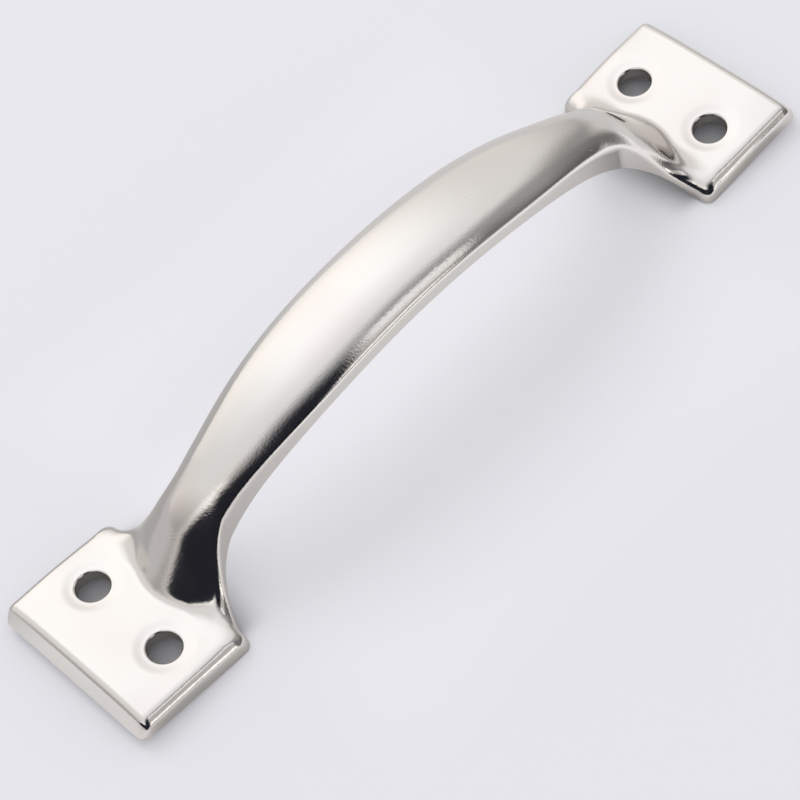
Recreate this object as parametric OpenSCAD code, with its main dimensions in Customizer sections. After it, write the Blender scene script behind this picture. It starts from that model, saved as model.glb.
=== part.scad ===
// Pull handle of the bow kind, pressed in one piece from sheet metal.
// A raised bow sweeps down into a flat skirted foot at each end.
// Each foot has two screw holes, one beside the other.
// X runs along the handle, Y across it, and Z points away from the door.
// The lowest points are the inner tips of the feet, at Z = 0.
// All sizes are in millimetres.

/* [Overall] */
// Length over both feet
length = 150; // [144:1:160]
// Height of the crown of the bow at mid span
top_h = 29.9; // [27:0.1:33]
// Thickness of the sheet
sheet = 0.9; // [0.6:0.05:0.9]
// Share of the thickness lost over the tightest bends
bend_thinning = 0.45; // [0.4:0.05:0.55]

/* [Feet] */
// Width of a foot over its side skirts
foot_w = 32.9; // [31:0.1:35]
// Distance from the middle of the handle to the inner tips of a foot
tip_x = 52.4; // [51.5:0.1:53.5]
// Height of the plate of a foot over the edge of its skirt
plate_h = 3.95; // [3.4:0.05:4.6]
// Upward tilt of each foot towards its outer end
foot_tilt = 5; // [0:0.5:7]
// Width of the rounded shoulder along the side of a foot, seen from above
side_round = 2.2; // [1.9:0.05:2.6]
// How far the foot of the side skirt stands out past its shoulder
side_draft = 0.25; // [0.1:0.05:0.4]
// Distance from the middle of the handle to the crest of the sloped end face
crest_x = 73.2; // [72.6:0.1:73.6]
// Width of the bend over that crest
crest_w = 1.2; // [0.9:0.05:1.5]
// Radius of the outer corners, seen from above
corner_r = 1.9; // [1.5:0.1:2.4]
// Radius of the edge of the skirt at the inner tips
tip_r = 1.7; // [1.3:0.1:2.2]
// Radius of the shoulder at the inner tips
tip_top_r = 2.0; // [1.4:0.1:3]
// Fall of the plate from its middle to its sides
plate_dome = 0.3; // [0:0.05:0.5]
// Extra fall of the plate at the outer corners
corner_dip = 0.3; // [0:0.05:0.5]

/* [Screw holes] */
// Spacing of the holes along the handle
hole_dx = 125; // [123:0.5:127]
// Spacing of the holes across a foot
hole_dy = 16.5; // [15:0.1:17.5]
// Diameter of the bore
bore_d = 5.5; // [4:0.1:5.8]
// Diameter at the top of the rounded edge of the hole
rim_d = 6.4; // [6:0.1:6.8]
// Diameter of the shallow dish round the hole
dish_d = 9.6; // [9:0.1:10]
// Depth of the dish at the edge of the hole
dish_depth = 0.2; // [0.1:0.05:0.3]
// Depth of the drawn wall of the hole, measured down from the plate
collar_depth = 2.2; // [1.4:0.1:2.6]

/* [Line of the bow] */
// Radius of the long arc over the grip
crown_r = 97; // [85:1:110]
// Slope at which the long arc ends
crown_a = 24.6; // [21:0.2:27]
// Slope of the straight stretch above the foot
root_a = 52.4; // [49:0.2:55]
// Radius of the fillet where the foot sweeps up into the bow, on the middle line
fillet_r = 2; // [1.5:0.1:4]
// Radius of that fillet beside the inner tips
fillet_side_r = 11; // [6:0.5:12]
// Distance from the middle of the handle at which that fillet meets the plate
fillet_x = 58.3; // [57.8:0.1:59]
// Bulge of the fillet towards the outer end, per square of the side distance
fillet_bulge = 0.043; // [0.031:0.002:0.049]

/* [Cross section of the bow] */
// Width over the edges of the bow at mid span
grip_w = 16.4; // [15:0.1:18]
// Width at the waist
waist_w = 11.7; // [10.7:0.1:13]
// Distance from the middle to the waist
waist_x = 44; // [43:0.1:45]
// How late the bow narrows
waist_late = 2.1; // [1.6:0.05:3]
// Fall of the crown from its middle to its folded edges
crown_rise = 2.6; // [1.8:0.05:3.2]
// How square the shoulders of the crown are
crown_square = 2.55; // [2:0.05:3]
// Width of the folded edge, seen from above
fold_w = 0.58; // [0.54:0.01:0.8]
// How far the wall below the fold stands out at its edge
wall_draft = 0.08; // [0:0.01:0.15]

/* [Lower edge of the bow] */
// Height of the lower edge at mid span
lip_mid = 24.35; // [23:0.05:25]
// Height of the lower edge a third of the way out
lip_third = 20.9; // [20:0.05:21.5]
// Height of the lower edge at the waist
lip_waist = 10.4; // [9.4:0.1:11]
// How late the lower edge falls to the inner tip
lip_late = 4; // [3:0.1:5]

/* [Flare] */
// How square the sweep from the waist to the inner tip is
flare_n = 1.66; // [1.5:0.02:1.9]

/* [Fineness] */
// Steps along half of the grip
grip_steps = 12; // [8:1:16]
// Steps along the flare
flare_steps = 14; // [8:1:16]
// Steps along the side of a foot
side_steps = 12; // [6:1:14]
// Steps from the middle of the crown to its shoulder
crown_steps = 9; // [6:1:12]

/* [Hidden] */
steel = [0.80, 0.80, 0.81];
half = length / 2;
half_w = foot_w / 2;
lip_q_x = 25;
lip_q2 = lip_q_x * lip_q_x;
waist_2 = waist_x * waist_x;
crest_start = crest_x - crest_w;

// Line of the bow: a long arc, a shorter arc, a straight and a reversed arc
long_x = crown_r * sin(crown_a);
long_z = top_h - crown_r * (1 - cos(crown_a));
fil_start_x = fillet_x - fillet_r * sin(root_a);
fil_start_z = plate_h + fillet_r * (1 - cos(root_a));
arc_run = sin(root_a) - sin(crown_a);
arc_fall = cos(crown_a) - cos(root_a);
gap_x = fil_start_x - long_x;
gap_z = long_z - fil_start_z;
arc_det = arc_run * sin(root_a) - cos(root_a) * arc_fall;
short_r = (gap_x * sin(root_a) - cos(root_a) * gap_z) / arc_det;
short_x = long_x + short_r * arc_run;
short_z = long_z - short_r * arc_fall;
short_cx = long_x - short_r * sin(crown_a);
short_cz = long_z - short_r * cos(crown_a);

// Lower edge of the bow: an even curve of the fourth order through three heights
lip_d1 = lip_third - lip_mid;
lip_d2 = lip_waist - lip_mid;
lip_det = lip_q2 * waist_2 * (waist_2 - lip_q2);
lip_a2 = (lip_d1 * waist_2 * waist_2 - lip_d2 * lip_q2 * lip_q2) / lip_det;
lip_a4 = (lip_d2 * lip_q2 - lip_d1 * waist_2) / lip_det;
lip_slope = 2 * lip_a2 * waist_x + 4 * lip_a4 * waist_x * waist_2;
lip_keep = -lip_slope * (tip_x - waist_x) / lip_waist;

function clip(t) = min(max(t, 0), 1);
function ease(t) = let(c = clip(t)) c * c * (3 - 2 * c);

// Height over a line of the bow at x; side is 0 on the middle line and 1 beside the tips
function line_z(x, side) =
    let(
        r = fillet_r + (fillet_side_r - fillet_r) * side,
        end_x = fillet_x + (r - fillet_r) * tan(root_a / 2)
    )
    x < long_x ? top_h - crown_r + sqrt(crown_r * crown_r - x * x) :
    x < short_x ? short_cz + sqrt(short_r * short_r - (x - short_cx) * (x - short_cx)) :
    x < end_x - r * sin(root_a) ? short_z - (x - short_x) * tan(root_a) :
    x < end_x ? plate_h + r - sqrt(r * r - (end_x - x) * (end_x - x)) :
    plate_h;

// Half width of the bow at its edge
function bow_y(x) =
    let(c = cos(90 * pow(min(abs(x) / waist_x, 1), waist_late)))
    waist_w / 2 + (grip_w - waist_w) / 2 * c * c;

// Height of the upper face over the plan, before the feet are tilted
function face_z(x, y) =
    let(
        ax = abs(x),
        ay = abs(y),
        fade = ease((ax - waist_x + 2) / 11),
        edge_y = bow_y(min(ax, waist_x)) - 0.35,
        crown = ax < waist_x + 9 ? crown_rise * (1 - fade) * pow(ay / edge_y, crown_square) : 0,
        bulge = fillet_bulge * ay * ay * ease((ax - 28) / 24),
        on_plate = ease((ax - 50) / 8),
        dip = corner_dip * ease((ay - 9) / 7) * ease((ax - 64) / 9)
    )
    line_z(ax + bulge, ease((ay - 5) / 7)) - crown - on_plate * (plate_dome * ay * ay / 225 + dip);

// Lift of a tilted foot
function lift(x) =
    let(d = abs(x) - tip_x - 2)
    tan(foot_tilt) * (d < -2 ? 0 : d > 2 ? d : (d + 2) * (d + 2) / 8);

// One row across a quarter of the handle: shoulder, edge and middle, seen from above.
// u runs 0 to 1 along the grip, to 2 along the flare, to 3 round the inner tip,
// to 4 along the side of the foot and to 5 down its end face.
function row_grip(u) =
    let(x = waist_x * u, y = bow_y(x))
    [x, y - fold_w, x, y, x, 0];

function row_flare(k) =
    let(
        e = 2 / flare_n,
        s = pow(sin(90 * k), e),
        c = pow(max(cos(90 * k), 0), e),
        edge_end = half_w - tip_r,
        top_end = half_w - side_round - tip_top_r
    )
    [waist_x + (tip_x + side_round - waist_x) * s,
     top_end - (top_end - (waist_w / 2 - fold_w)) * c,
     waist_x + (tip_x - waist_x) * s,
     edge_end - (edge_end - waist_w / 2) * c,
     waist_x + (mid_tip_x - waist_x) * (1 - pow(1 - k, 1.6)),
     0];

function row_tip(k) =
    let(a = 90 * k)
    [tip_x + side_round + tip_top_r * (1 - cos(a)),
     half_w - side_round - tip_top_r + tip_top_r * sin(a),
     tip_x + tip_r * (1 - cos(a)),
     half_w - tip_r + tip_r * sin(a),
     mid_tip_x + k / 2,
     0];

function row_side(k) =
    let(
        top_x = tip_x + side_round + tip_top_r,
        x = top_x + (crest_start - top_x) * k
    )
    [x,
     half_w - side_round,
     x + (tip_x + tip_r - top_x) * (1 - k) * (1 - k),
     half_w,
     x + (mid_tip_x + 0.5 - top_x) * pow(1 - k, 3),
     0];

function row_at(u) =
    u <= 1 ? row_grip(u) :
    u <= 2 ? row_flare(u - 1) :
    u <= 3 ? row_tip(u - 2) :
    u <= 4 ? row_side(u - 3) :
    [crest_start, half_w - side_round, crest_start, half_w, crest_start, u - 4];

// Rounded shoulder and straight wall: run outwards and fall, for w from 0 to 1.
// reach is the width of the bend, slope the fall of the face that runs into it.
function wall(w, reach, slope, run, fall) =
    let(
        top = [reach, reach * slope],
        low = [run, fall] - top,
        len_top = norm(top),
        len_low = norm(low),
        cut = min(len_top, 0.8 * len_low),
        end = top + low / len_low * cut,
        start = top * (1 - cut / len_top),
        weight = sqrt((1 + top * low / (len_top * len_low)) / 2),
        t = clip(w / bend_end),
        den = (1 - t) * (1 - t) + 2 * weight * t * (1 - t) + t * t,
        bend = ((1 - t) * (1 - t) * start + 2 * weight * t * (1 - t) * top + t * t * end) / den
    )
    w <= bend_end ? bend : end + ([run, fall] - end) * (w - bend_end) / (1 - bend_end);

// Height of the lower edge of the row
function edge_z(u, x) =
    u <= 1 ? lip_mid + lip_a2 * x * x + lip_a4 * pow(x, 4) :
    u <= 2 ? let(s = pow(sin(90 * (u - 1)), 2 / flare_n))
             lip_waist * (1 - lip_keep * s - (1 - lip_keep) * pow(s, lip_late)) :
    0;

// Rounds the outer corners in plan
function round_corner(p) =
    let(a = p[0] - (half - corner_r), b = p[1] - (half_w - corner_r), rr = 2 * corner_r * corner_r)
    a > 0 && b > 0 ?
        [half - corner_r + a * sqrt(max(1 - b * b / rr, 0)),
         half_w - corner_r + b * sqrt(max(1 - a * a / rr, 0)),
         p[2]] :
    p;

// A point of the outer face. v runs 0 to 1 over the face to the shoulder, to 2 down the wall.
function outer_point(u, v) =
    let(
        r = row_at(u),
        c = min(v, 1),
        w = max(v - 1, 0),
        mid_x = r[4] + (r[0] - r[4]) * c * c,
        mid_y = r[1] * c,
        dx = r[2] - r[0],
        dy = r[3] - r[1],
        run = norm([dx, dy]),
        top_z = face_z(r[0], r[1]),
        slope = (top_z - face_z(r[0] + 0.05 * dx / run, r[1] + 0.05 * dy / run)) / 0.05,
        low_z = edge_z(u, r[2]),
        draft = wall_draft + (side_draft - wall_draft) * clip(u - 1),
        fall = top_z - low_z,
        side = w > 0 ? wall(w, run - draft, slope, run, fall) : [0, 0],
        flat_z = w > 0 ? top_z - side[1] : face_z(mid_x, mid_y),
        end_top = face_z(r[0], 0),
        end_slope = (end_top - face_z(r[0] + 0.05, 0)) / 0.05,
        face = r[5] > 0 ? wall(r[5], crest_w, end_slope, half - crest_start, end_top) : [0, 0],
        q = round_corner([mid_x + dx / run * side[0] + face[0],
                          mid_y + dy / run * side[0],
                          flat_z * (1 - face[1] / end_top)])
    )
    [q[0], q[1], q[2] + lift(q[0])];

// Direction straight out of the outer face, level along the free edges
function outward(u, v) =
    let(
        a = outer_point(min(u + 0.004, 5), v) - outer_point(u - 0.004, v),
        b = outer_point(u, min(v + 0.004, 2)) - outer_point(u, max(v - 0.004, 0)),
        n = cross(a, b) / norm(cross(a, b)),
        p = outer_point(u, v),
        m = u == 5 && v == 2 ?
            [p[0] - half + corner_r, p[1] - half_w + corner_r, 0] :
            [u == 0 ? 0 : n[0], v == 0 ? 0 : n[1], u == 5 || v == 2 ? 0 : n[2]]
    )
    m / norm(m);

// Thickness, less over the bends of the flare and of the outer corners
function thickness(u, v) =
    let(
        along = clip((u - 1) / 0.15) * clip((1.95 - u) / 0.3) + clip((u - 3.95) / 0.1),
        across = clip((v - 0.85) / 0.2) * clip((2.05 - v) / 0.35)
    )
    sheet * (1 - bend_thinning * along * across);

// How far the metal round a screw hole is drawn down under the plate
function drawn(p) =
    let(d = norm([p[0] - hole_dx / 2, p[1] - hole_dy / 2]))
    (collar_depth - sheet) * (1 - ease((d - bore_d / 2 - 0.8) / 1.8));

function v_top(v) = v <= 1 ? 1 : 0;

bend_end = 0.6;
mid_tip_x = 55.5;
us = concat(
    [for (i = [0:grip_steps]) i / grip_steps],
    [for (i = [1:flare_steps]) 1 + i / flare_steps],
    [for (i = [1:3]) 2 + i / 3],
    [for (i = [1:side_steps]) 3 + pow(i / side_steps, 1.3)],
    [4.2, 4.4, 4.6, 5]
);
vs = concat(
    [for (j = [0:crown_steps]) j / crown_steps],
    [1.15, 1.3, 1.45, 1.6, 2]
);
nu = len(us) - 1;
nv = len(vs) - 1;
outer_quarter = [for (u = us) [for (v = vs) outer_point(u, v)]];
inner_quarter = [for (i = [0:nu]) [for (j = [0:nv])
    let(p = outer_quarter[i][j])
    p - thickness(us[i], vs[j]) * outward(us[i], vs[j]) - [0, 0, v_top(vs[j]) * drawn(p)]]];

// The quarter mirrored to both sides and both ends
function whole(quarter) = [for (i = [-nu:nu]) for (j = [-nv:nv])
    let(p = quarter[abs(i)][abs(j)])
    [i < 0 ? -p[0] : p[0], j < 0 ? -p[1] : p[1], p[2]]];

rows = 2 * nu + 1;
cols = 2 * nv + 1;
function at(i, j) = i * cols + j;
function quad(a, b, c, d, turned) =
    turned ? [[a, b, c], [a, c, d]] : [[b, c, d], [b, d, a]];

module shell() {
    n = rows * cols;
    skin = [for (i = [0:rows - 2]) for (j = [0:cols - 2])
        for (f = quad(at(i, j), at(i, j + 1), at(i + 1, j + 1), at(i + 1, j), (i < nu) == (j < nv)))
            f];
    lining = [for (f = skin) [n + f[2], n + f[1], n + f[0]]];
    ends = [for (j = [0:cols - 2]) for (i = [0, rows - 1])
        for (f = quad(at(i, j), n + at(i, j), n + at(i, j + 1), at(i, j + 1), true))
            i == 0 ? f : [f[2], f[1], f[0]]];
    sides = [for (i = [0:rows - 2]) for (j = [0, cols - 1])
        for (f = quad(at(i, j), at(i + 1, j), n + at(i + 1, j), n + at(i, j), true))
            j == 0 ? f : [f[2], f[1], f[0]]];
    polyhedron(
        points = concat(whole(outer_quarter), whole(inner_quarter)),
        faces = concat(skin, lining, ends, sides),
        convexity = 8
    );
}

hole_z = face_z(hole_dx / 2, hole_dy / 2) + lift(hole_dx / 2);
dome_a = atan(2 * plate_dome * hole_dy / 2 / 225);

// Repeats its children at the four holes
module at_holes() {
    for (sx = [0, 1]) mirror([sx, 0, 0])
        for (sy = [0, 1]) mirror([0, sy, 0])
            translate([hole_dx / 2, hole_dy / 2, hole_z])
                children();
}

// Straight bore
module bore() {
    translate([0, 0, -6])
        cylinder(r = bore_d / 2, h = 12, $fn = 48);
}

// Rounded edge of the hole and the shallow dish round it
module dish() {
    roll = (rim_d - bore_d) / 2;
    rotate([-dome_a, -foot_tilt, 0])
        rotate_extrude($fn = 64)
            polygon(concat(
                [[bore_d / 2 - 0.6, 1.2], [bore_d / 2 - 0.6, -roll - dish_depth]],
                [for (a = [0:18:90])
                    [bore_d / 2 + roll * (1 - cos(a)), -dish_depth - roll * (1 - sin(a))]],
                [[dish_d / 2, 0.02], [dish_d / 2, 1.2]]
            ));
}

module bow_handle() {
    color(steel)
        difference() {
            shell();
            at_holes() bore();
            at_holes() dish();
        }
}

bow_handle();
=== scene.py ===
"""Bow pull handle, pressed in one piece from bright plated sheet, lying on a pale floor.

Sizes in the classes of the handle are in millimetres, as on a maker's drawing. They are turned
into metres where a mesh is made. X runs along the handle, Y across it and Z away from the door.
"""

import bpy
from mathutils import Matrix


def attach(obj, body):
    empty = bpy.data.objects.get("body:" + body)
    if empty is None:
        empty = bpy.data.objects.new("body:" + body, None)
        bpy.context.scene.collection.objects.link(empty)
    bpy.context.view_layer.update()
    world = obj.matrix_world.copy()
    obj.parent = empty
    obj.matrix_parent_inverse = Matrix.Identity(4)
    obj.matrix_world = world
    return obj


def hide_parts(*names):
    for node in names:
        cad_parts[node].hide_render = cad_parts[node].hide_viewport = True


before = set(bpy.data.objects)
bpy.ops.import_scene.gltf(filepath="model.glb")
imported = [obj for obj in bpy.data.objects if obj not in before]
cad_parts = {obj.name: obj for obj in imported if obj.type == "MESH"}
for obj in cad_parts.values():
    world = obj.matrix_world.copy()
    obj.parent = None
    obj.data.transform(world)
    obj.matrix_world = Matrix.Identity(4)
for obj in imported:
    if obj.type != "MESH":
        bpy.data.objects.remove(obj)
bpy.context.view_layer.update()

import logging
import math
from dataclasses import dataclass, field
from enum import Enum

import bpy
import numpy as np
from mathutils import Vector

LOG = logging.getLogger("bow_handle")
MM = 0.001
Array = np.ndarray
Triple = tuple[float, float, float]


class Zone(Enum):
    """The stretches of a row parameter, each one unit long, and where each starts."""

    GRIP = 0
    FLARE = 1
    TIP = 2
    SIDE = 3
    END = 4


class Face(Enum):
    """The two faces of the sheet."""

    OUTER = "outer"
    LINING = "lining"


def clip(t: Array) -> Array:
    """Limits t to 0..1."""
    return np.clip(t, 0.0, 1.0)


def ease(t: Array) -> Array:
    """Smooth step from 0 to 1."""
    c = clip(t)
    return c * c * (3.0 - 2.0 * c)


def unit(v: Array) -> Array:
    """Vectors along the last axis, made one unit long."""
    return v / np.maximum(np.linalg.norm(v, axis=-1, keepdims=True), 1e-12)


def arc_rise(radius: Array, away: Array) -> Array:
    """Height of an arc over its centre, at a distance to the side of it."""
    return np.sqrt(np.maximum(radius * radius - away * away, 0.0))


def by_zone(u: Array, *values: Array) -> Array:
    """Picks the value of the zone that each row lies in."""
    return np.select([u <= 1, u <= 2, u <= 3, u <= 4], values[:4], values[4])


@dataclass(frozen=True)
class Span:
    """A stretch over which something comes in; a negative run lets it go out."""

    start: float
    run: float

    def smooth(self, t: Array) -> Array:
        """Share of the span that t has passed, eased at both ends."""
        return ease((t - self.start) / self.run)

    def straight(self, t: Array) -> Array:
        """Share of the span that t has passed."""
        return clip((t - self.start) / self.run)


@dataclass(frozen=True)
class BowLine:
    """Side view of the bow: long arc, short arc, straight, then a fillet into the foot."""

    top_h: float = 29.9
    crown_r: float = 97.0
    crown_a: float = 24.6
    root_a: float = 52.4
    fillet_r: float = 2.0
    fillet_x: float = 58.3
    fillet_bulge: float = 0.043
    fillet_side_r: float = 11.0
    plate_h: float = 3.95

    def height(self, x: Array, side: Array) -> Array:
        """Height of the face along one line of the bow.

        Args:
            x: Distances from the middle of the handle, zero or more.
            side: 0 on the middle line, 1 where the fillet has its side radius.

        Returns:
            Heights over the edge of the skirt.
        """
        sa, ca = math.sin(math.radians(self.crown_a)), math.cos(math.radians(self.crown_a))
        sr, cr = math.sin(math.radians(self.root_a)), math.cos(math.radians(self.root_a))
        long_x, long_z = self.crown_r * sa, self.top_h - self.crown_r * (1 - ca)
        fillet_x = self.fillet_x - self.fillet_r * sr
        fillet_z = self.plate_h + self.fillet_r * (1 - cr)
        gap_x, gap_z = fillet_x - long_x, long_z - fillet_z
        det = (sr - sa) * sr - cr * (ca - cr)
        short_r = (gap_x * sr - cr * gap_z) / det
        short_x, short_z = long_x + short_r * (sr - sa), long_z - short_r * (ca - cr)
        centre_x, centre_z = long_x - short_r * sa, long_z - short_r * ca
        fillet_r = self.fillet_r + (self.fillet_side_r - self.fillet_r) * side
        end_x = self.fillet_x + (fillet_r - self.fillet_r) * math.tan(math.radians(self.root_a / 2))
        return np.select(
            [x < long_x, x < short_x, x < end_x - fillet_r * sr, x < end_x],
            [
                self.top_h - self.crown_r + arc_rise(self.crown_r, x),
                centre_z + arc_rise(short_r, x - centre_x),
                short_z - (x - short_x) * sr / cr,
                self.plate_h + fillet_r - arc_rise(fillet_r, end_x - x),
            ],
            self.plate_h,
        )


@dataclass(frozen=True)
class BowSection:
    """Cross section of the bow: widths, crowned face, folded edges and lower edge."""

    grip_w: float = 16.4
    waist_w: float = 11.7
    waist_x: float = 44.0
    waist_late: float = 2.1
    crown_rise: float = 2.6
    crown_square: float = 2.55
    crown_inset: float = 0.35
    fold_w: float = 0.58
    wall_draft: float = 0.08
    lip_mid: float = 24.35
    lip_third: float = 20.9
    lip_third_x: float = 25.0
    lip_waist: float = 10.4
    lip_late: float = 4.0

    def half_width(self, x: Array) -> Array:
        """Half width over the edges at x."""
        c = np.cos(math.pi / 2 * clip(np.abs(x) / self.waist_x) ** self.waist_late)
        return self.waist_w / 2 + (self.grip_w - self.waist_w) / 2 * c * c

    def lip_terms(self) -> tuple[float, float]:
        """Curve of the lower edge over the grip.

        Returns:
            Its second and fourth order terms.
        """
        q, w = self.lip_third_x**2, self.waist_x**2
        d1, d2 = self.lip_third - self.lip_mid, self.lip_waist - self.lip_mid
        det = q * w * (w - q)
        return (d1 * w * w - d2 * q * q) / det, (d2 * q - d1 * w) / det


@dataclass(frozen=True)
class FootForm:
    """One of the two feet: skirted plate, tilted up towards its outer end."""

    foot_w: float = 32.9
    tip_x: float = 52.4
    foot_tilt: float = 5.0
    tilt_from: float = 2.0
    tilt_ease: float = 2.0
    side_round: float = 2.2
    side_draft: float = 0.25
    crest_x: float = 73.2
    crest_w: float = 1.2
    corner_r: float = 1.9
    tip_r: float = 1.7
    tip_top_r: float = 2.0
    plate_dome: float = 0.3
    dome_reach: float = 15.0
    corner_dip: float = 0.3
    flare_n: float = 1.66

    def lift(self, x: Array) -> Array:
        """Rise of the tilted foot.

        Args:
            x: Positions along the handle.

        Returns:
            Heights to add.
        """
        e = self.tilt_ease
        d = np.abs(x) - self.tip_x - self.tilt_from
        rise = np.where(d < -e, 0.0, np.where(d > e, d, (d + e) ** 2 / (4 * e)))
        return math.tan(math.radians(self.foot_tilt)) * rise


@dataclass(frozen=True)
class HoleForm:
    """A screw hole: bore, rolled edge, shallow dish and the ring drawn down under the plate."""

    dx: float = 125.0
    dy: float = 16.5
    bore_r: float = 2.75
    rim_r: float = 3.2
    dish_r: float = 5.1
    dish_depth: float = 0.2
    collar_depth: float = 2.25
    collar_t: float = 0.6

    @property
    def centre(self) -> Array:
        """Middle of the hole of this quarter, in plan."""
        return np.array([self.dx, self.dy]) / 2

    def dish(self, x: Array, y: Array) -> Array:
        """Depth of the dish at (x, y) of the quarter."""
        d = np.hypot(np.abs(x) - self.dx / 2, np.abs(y) - self.dy / 2)
        return self.dish_depth * (1 - ease((d - self.rim_r) / (self.dish_r - self.rim_r)))


@dataclass
class MeshParts:
    """Vertices, their directions and four-cornered faces, gathered piece by piece."""

    points: list[Array] = field(default_factory=list)
    normals: list[Array] = field(default_factory=list)
    faces: list[Array] = field(default_factory=list)
    count: int = 0
    seam_width: float = 1e-6
    apart: float = 1000.0

    def add(self, points: Array, normals: Array) -> Array:
        """Adds vertices.

        Args:
            points: Positions, in any leading shape.
            normals: Directions of the same shape.

        Returns:
            Vertex numbers in that leading shape.
        """
        shape = points.shape[:-1]
        flat = points.reshape(-1, 3)
        ids = np.arange(self.count, self.count + len(flat)).reshape(shape)
        self.points.append(flat)
        self.normals.append(unit(normals.reshape(-1, 3)))
        self.count += len(flat)
        return ids

    def quads(self, a: Array, b: Array, c: Array, d: Array) -> None:
        """Adds faces from four equal arrays of vertex numbers."""
        self.faces.append(np.stack([a, b, c, d], -1).reshape(-1, 4))

    def band(self, first: Array, second: Array, closed: bool) -> None:
        """Joins two equal strings of vertices; the face is on the left of the first.

        Args:
            first: Vertex numbers of one string.
            second: Vertex numbers of the other.
            closed: Whether the strings are rings.
        """
        if closed:
            first, second = np.append(first, first[0]), np.append(second, second[0])
        self.quads(first[:-1], first[1:], second[1:], second[:-1])

    def mirrored(self) -> tuple[Array, Array, Array]:
        """The quarter repeated over both axes, joined where the quarters meet.

        Returns:
            Points, directions and faces of the whole.
        """
        p, n, f = (np.concatenate(a) for a in (self.points, self.normals, self.faces))
        all_p, all_n, all_f = [], [], []
        for sx, sy in ((1, 1), (-1, 1), (1, -1), (-1, -1)):
            s = np.array([sx, sy, 1.0])
            all_f.append((f if sx * sy > 0 else f[:, ::-1]) + len(all_p) * len(p))
            all_p.append(p * s)
            all_n.append(n * s)
        p, n, f = (np.concatenate(a) for a in (all_p, all_n, all_f))
        seam = (np.abs(p[:, 0]) < self.seam_width) | (np.abs(p[:, 1]) < self.seam_width)
        key = np.round(np.c_[p, n], 4) + 0.0
        key[~seam, 0] += self.apart + np.arange((~seam).sum())
        _, keep, where = np.unique(key, axis=0, return_index=True, return_inverse=True)
        return p[keep], unit(n[keep]), where.reshape(-1)[f]


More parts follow.
